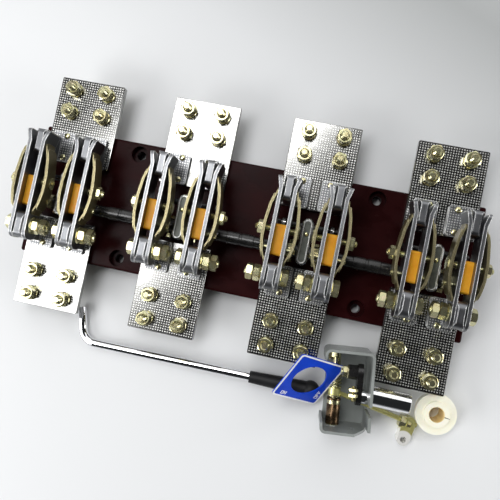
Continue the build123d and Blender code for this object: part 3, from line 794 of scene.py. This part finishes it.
# Words by place and turn, and letters by the ends of their strokes
words = [("ON", -27.2, 22.0, -90.0), ("OFF", -22.0, -27.2, 0.0)]
letters = {"O": [(0, 0, 0, 4), (0, 4, 2.6, 4), (2.6, 4, 2.6, 0), (2.6, 0, 0, 0)],
           "N": [(0, 0, 0, 4), (0, 4, 2.6, 0), (2.6, 0, 2.6, 4)],
           "F": [(0, 0, 0, 4), (0, 4, 2.6, 4), (0, 2.1, 2.0, 2.1)]}


def face_place():
    """Placing matrix of the face plate's upper face, square with its edges."""
    out = Vector((math.sin(face_lean) * math.cos(face_heading),
                  math.sin(face_lean) * math.sin(face_heading), math.cos(face_lean)))
    side = Vector((-math.sin(face_heading), math.cos(face_heading), 0.0))
    turned = Matrix((side, out.cross(side), out)).transposed().to_4x4()
    turned = turned @ Matrix.Rotation(face_turn, 4, "Z")
    return Matrix.Translation(face_centre + out * face_thickness) @ turned


def rounded_square(place, half, corner, z, count=6):
    """Points round a square with rounded corners."""
    points = []
    for quarter in range(4):
        for k in range(count + 1):
            angle = math.pi / 2 * (quarter + k / count)
            signs = ((1, 1), (-1, 1), (-1, -1), (1, -1))[quarter]
            centre = Vector(signs) * (half - corner)
            points.append(place @ Vector((centre.x + corner * math.cos(angle),
                                          centre.y + corner * math.sin(angle), z)))
    return points


def add_stroke(bm, place, x0, y0, x1, y1):
    """One straight stroke of a letter."""
    start, end = Vector((x0, y0)), Vector((x1, y1))
    run = (end - start).normalized() * stroke / 2
    across = Vector((-run.y, run.x))
    corners = [start - run - across, end + run - across, end + run + across, start - run + across]
    rings = [[place @ Vector((c.x, c.y, z)) for c in corners] for z in (0.0, print_height)]
    loft(bm, rings, True, True, True)


def face_print():
    """The border and the words of the face plate."""
    place = face_place()
    bm = bmesh.new()
    inner, inner_round = face_half - border_width, face_round - border_width / 2
    loft(bm, [rounded_square(place, half, corner, z) for half, corner, z in
              ((face_half, face_round, 0.0), (face_half, face_round, print_height),
               (inner, inner_round, print_height), (inner, inner_round, 0.0),
               (face_half, face_round, 0.0))])
    for word, x, y, turn in words:
        spot = place @ Matrix.Translation((x, y, 0.0)) @ Matrix.Rotation(math.radians(turn), 4, "Z")
        for k, letter in enumerate(word):
            for x0, y0, x1, y1 in letters[letter]:
                add_stroke(bm, spot, x0 + letter_pitch * k, y0, x1 + letter_pitch * k, y1)
    piece("face_print", bm, white_print, "base")


face_print()


# Web, sleeves and small hardware of the bracket, in the bracket's own turned frame
gear_pivot, gear_turn = Vector((178.5, -152.5, 0.0)), math.radians(6.5)
gear = Matrix.Translation(gear_pivot) @ Matrix.Rotation(gear_turn, 4, "Z") @ Matrix.Translation(-gear_pivot)
stay_x, stay_z, stay_radius = 139.2, 21.0, 4.5
# Collars of the stay by place, radius and width
stay_collars = [(-163.2, 8.2, 1.6), (-136.6, 8.0, 1.4)]
stay_sleeve_y, stay_sleeve_bore = -194.6, 5.0
# Steps of the stay's sleeve by radius and place
stay_sleeve_steps = [(7.4, 0.0), (7.9, 0.5), (7.9, 22.0), (7.0, 24.0), (7.0, 26.5), (8.2, 27.2), (8.2, 29.4),
                     (7.6, 29.8)]
coil_radius, coil_wire, coil_low, coil_high, coil_turns = 6.6, 1.1, -152.0, -138.0, 3.5
small_washer_bore, small_washer, small_flats = 3.0, 1.4, 12.0
flange_inner, flange_bolt = -110.0, (132.0, 32.0)
arm_inner, arm_end_y, arm_end_z, boss_height = 161.5, -131.0, 42.0, 10.0
pin_start, pin_end, pin_x, pin_z, pin_radius = -146.0, -163.0, 158.0, 46.0, 3.0
pin_pitch, pin_flats, pin_nut, pin_nut_starts = 1.6, 10.0, 3.6, (2.0, 8.0)
tie_nut_start, tie_nut_end = (219.5, -179.5, 9.5), (239.5, -183.5, 7.5)
# Nuts on the connecting rod by start and height
tie_nuts = [(0.0, 7.0), (8.4, 5.0)]
tie_flats, tie_bore = 13.0, 3.2
web_x, web_y = (128.0, 176.2), (-196.0, -109.0)
web_lift, web_soft, web_thickness = 0.05, 0.3, 0.9
sleeve_from, sleeve_to = (178.7, -155.6, 36.0), (221.5, -160.4, 36.0)
sleeve_outer, sleeve_bore, sleeve_soft, sleeve_segments = 11.2, 9.4, 0.6, 48


def geared(start, end):
    """Placing matrix along a line that is given in the bracket's own frame."""
    return gear @ along(start, end)


def add_coil(bm):
    """The coil spring on the stay bolt."""
    steps, section = 28, 8
    rings = []
    total = round(coil_turns * steps)
    for k in range(total + 1):
        angle = math.tau * k / steps
        y = coil_low + (coil_high - coil_low) * k / total
        out = Vector((math.cos(angle), 0.0, math.sin(angle)))
        centre = Vector((stay_x, y, stay_z)) + out * coil_radius
        rings.append([gear @ (centre + (out * math.cos(b) + Vector((0, 1, 0)) * math.sin(b)) * coil_wire)
                      for b in (math.tau * j / section for j in range(section))])
    loft(bm, rings, True, True, True)


def add_small_bolt(bm, place, washer_radius, nut_height, nut_bore, stud_radius, stud_end):
    """A washer, a nut and a stud's end on one seat."""
    add_washer(bm, place, small_washer_bore, washer_radius, small_washer)
    add_hexagon(bm, place @ at(0, 0, small_washer), small_flats, nut_height, nut_bore)
    add_thread(bm, place, stud_radius, small_washer, stud_end, M8_PITCH)


def bracket_hardware():
    """Coil, collars, nuts and pin inside the bracket, and the nuts on the connecting rod."""
    bm = bmesh.new()
    add_coil(bm)
    for y, radius, width in stay_collars:
        add_washer(bm, geared((stay_x, y, stay_z), (stay_x, y + 1, stay_z)), stay_radius, radius, width)
    x, z = flange_bolt
    head = geared((x, flange_inner, z), (x, flange_inner - 1, z))
    add_small_bolt(bm, head, washer_radius=7.5, nut_height=6.0, nut_bore=3.6, stud_radius=3.8, stud_end=11.0)
    boss_x = arm_inner - boss_height
    boss = geared((boss_x, arm_end_y, arm_end_z), (boss_x - 1, arm_end_y, arm_end_z))
    add_small_bolt(bm, boss, washer_radius=7.8, nut_height=5.0, nut_bore=3.4, stud_radius=3.6, stud_end=9.0)
    pin = geared((pin_x, pin_start, pin_z), (pin_x, pin_end, pin_z))
    add_thread(bm, pin, pin_radius, 0.0, pin_start - pin_end, pin_pitch)
    for start in pin_nut_starts:
        add_hexagon(bm, pin @ at(0, 0, start), pin_flats, pin_nut, pin_radius)
    rod = along(tie_nut_start, tie_nut_end)
    for start, height in tie_nuts:
        add_hexagon(bm, rod @ at(0, 0, start), tie_flats, height, tie_bore)
    piece("bracket_hardware", bm, zinc, "base")


def spindle_sleeve():
    """The wide bright sleeve that stands out from the bracket's back wall."""
    bm = bmesh.new()
    place = geared(sleeve_from, sleeve_to)
    length = (Vector(sleeve_to) - Vector(sleeve_from)).length
    add_tube(bm, place, [(sleeve_bore, 0.0), (sleeve_outer, 0.0), (sleeve_outer, length - sleeve_soft),
                         (sleeve_outer - sleeve_soft, length), (sleeve_bore, length)], sleeve_segments)
    piece("spindle_sleeve", bm, chrome, "base")


def stay_sleeve():
    """The dark stepped sleeve on the near end of the stay bolt."""
    bm = bmesh.new()
    place = geared((stay_x, stay_sleeve_y, stay_z), (stay_x, stay_sleeve_y + 1.0, stay_z))
    end = stay_sleeve_steps[-1][1]
    add_tube(bm, place, stay_sleeve_steps + [(stay_sleeve_bore, end), (stay_sleeve_bore, 0.0)])
    piece("stay_sleeve", bm, dark_bronze, "base")


def bracket_web():
    """The thin floor of the bracket."""
    bm = bmesh.new()
    (low, high), (near, far) = web_x, web_y
    rings = []
    for inset, z in ((0.0, web_lift), (0.0, web_thickness - web_soft), (web_soft, web_thickness)):
        corners = [(low + inset, near + inset), (high - inset, near + inset), (high - inset, far - inset),
                   (low + inset, far - inset)]
        rings.append([gear @ Vector((x, y, z)) for x, y in corners])
    loft(bm, rings, True, True, True)
    piece("bracket_web", bm, grey, "base")


bracket_hardware()
bracket_web()
spindle_sleeve()
stay_sleeve()


# Slit in the collar of the bush
slit_start, slit_end, slit_half, slit_taper = 8.8, 15.0, 0.5, 0.4
slit_heading, slit_low, slit_high = math.radians(-6), -0.2, 0.06


def bush_slit():
    """A short tapering cut that runs out from the bore."""
    bore = mount_place["bush_bore"]
    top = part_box("bush")[1][2] / MM
    out = Vector((math.cos(slit_heading), math.sin(slit_heading), 0.0))
    across = Vector((-out.y, out.x, 0.0)) * slit_half
    base = Vector((bore.x, bore.y, top))
    near, far = base + out * slit_start, base + out * slit_end
    corners = [near - across, far - across * slit_taper, far + across * slit_taper, near + across]
    bm = bmesh.new()
    loft(bm, [[c + Vector((0, 0, z)) for c in corners] for z in (slit_low, slit_high)], True, True, True)
    piece("bush_slit", bm, dark_bronze, "base")


bush_slit()


# Floor, light and camera
floor_half, floor_drop, painted_shade_heading = 6.0, 0.0003, (0.5, 1.0, 0.0)
camera_lens, camera_sensor = 40.5297, 36.0
camera_place, camera_turn = (0.0828186, -0.0501847, 0.6849501), (3.59739, 5.57799, 11.86563)


def floor():
    """A pale floor with a painted shade that darkens it beyond the far right corner."""
    m = surface("floor")
    nodes, links = m.node_tree.nodes, m.node_tree.links
    coordinates = nodes.new("ShaderNodeTexCoord")
    away = nodes.new("ShaderNodeVectorMath")
    away.operation = "DOT_PRODUCT"
    away.inputs[1].default_value = painted_shade_heading
    links.new(coordinates.outputs["Object"], away.inputs[0])
    # Painted shade: the floor's colour darkens along this heading, then pales again
    colour_by(m, away.outputs["Value"], [(0.0, (0.75, 0.76, 0.77)), (0.10, (0.71, 0.72, 0.73)),
                                         (0.21, (0.63, 0.64, 0.65)), (0.42, (0.36, 0.37, 0.37)),
                                         (0.9, (0.66, 0.67, 0.68))])
    roughness_by(m, noise(m, 3, detail=4), 0.6, 0.7)
    bm = bmesh.new()
    bmesh.ops.create_grid(bm, x_segments=2, y_segments=2, size=floor_half)
    mesh = bpy.data.meshes.new("floor")
    bm.to_mesh(mesh)
    bm.free()
    mesh.materials.append(m)
    obj = bpy.data.objects.new("floor", mesh)
    obj.location.z = -floor_drop
    bpy.context.collection.objects.link(obj)


def soft_box(name, location, target, width, length, power, turn=0.0):
    """A rectangular soft box aimed at a point and turned about its axis."""
    light = bpy.data.lights.new(name, "AREA")
    light.shape = "RECTANGLE"
    light.size, light.size_y = width, length
    light.energy = power
    obj = bpy.data.objects.new(name, light)
    obj.location = location
    aim = (Vector(target) - Vector(location)).to_track_quat("-Z", "Y")
    obj.rotation_euler = (aim.to_matrix() @ Matrix.Rotation(math.radians(turn), 3, "Z")).to_euler()
    bpy.context.collection.objects.link(obj)


def dark_room():
    """A room that is dark overhead and paler towards the horizon."""
    world = bpy.data.worlds.new("room")
    world.use_nodes = True
    nodes, links = world.node_tree.nodes, world.node_tree.links
    coordinates = nodes.new("ShaderNodeTexCoord")
    split = nodes.new("ShaderNodeSeparateXYZ")
    ramp = nodes.new("ShaderNodeValToRGB")
    stops = ramp.color_ramp.elements
    stops[0].position, stops[0].color = 0.0, (0.28, 0.29, 0.30, 1.0)
    stops[1].position, stops[1].color = 0.3, (0.018, 0.019, 0.020, 1.0)
    links.new(coordinates.outputs["Generated"], split.inputs["Vector"])
    links.new(split.outputs["Z"], ramp.inputs["Fac"])
    links.new(ramp.outputs["Color"], nodes["Background"].inputs["Color"])
    bpy.context.scene.world = world


floor()
# Soft boxes by place, target, width, length, power and turn
soft_box("key", (-0.98, 0.20, 2.60), (-0.98, 0.20, 0.0), 0.72, 2.60, 46, -39)
soft_box("back", (0.05, 1.45, 1.05), (0.0, 0.0, 0.0), 2.6, 2.00, 22)
soft_box("front", (-1.45, -1.05, 0.95), (-0.15, -0.1, 0.0), 1.2, 0.8, 24)
soft_box("side", (1.60, -0.10, 0.62), (0.2, -0.15, 0.0), 1.2, 0.5, 13)
dark_room()
bpy.context.scene.view_settings.view_transform = "Standard"

camera_data = bpy.data.cameras.new("camera")
camera_data.sensor_width = camera_sensor
camera_data.lens = camera_lens
camera = bpy.data.objects.new("camera", camera_data)
camera.location = camera_place
camera.rotation_euler = Euler(tuple(math.radians(a) for a in camera_turn), "XYZ")
bpy.context.collection.objects.link(camera)
bpy.context.scene.camera = camera
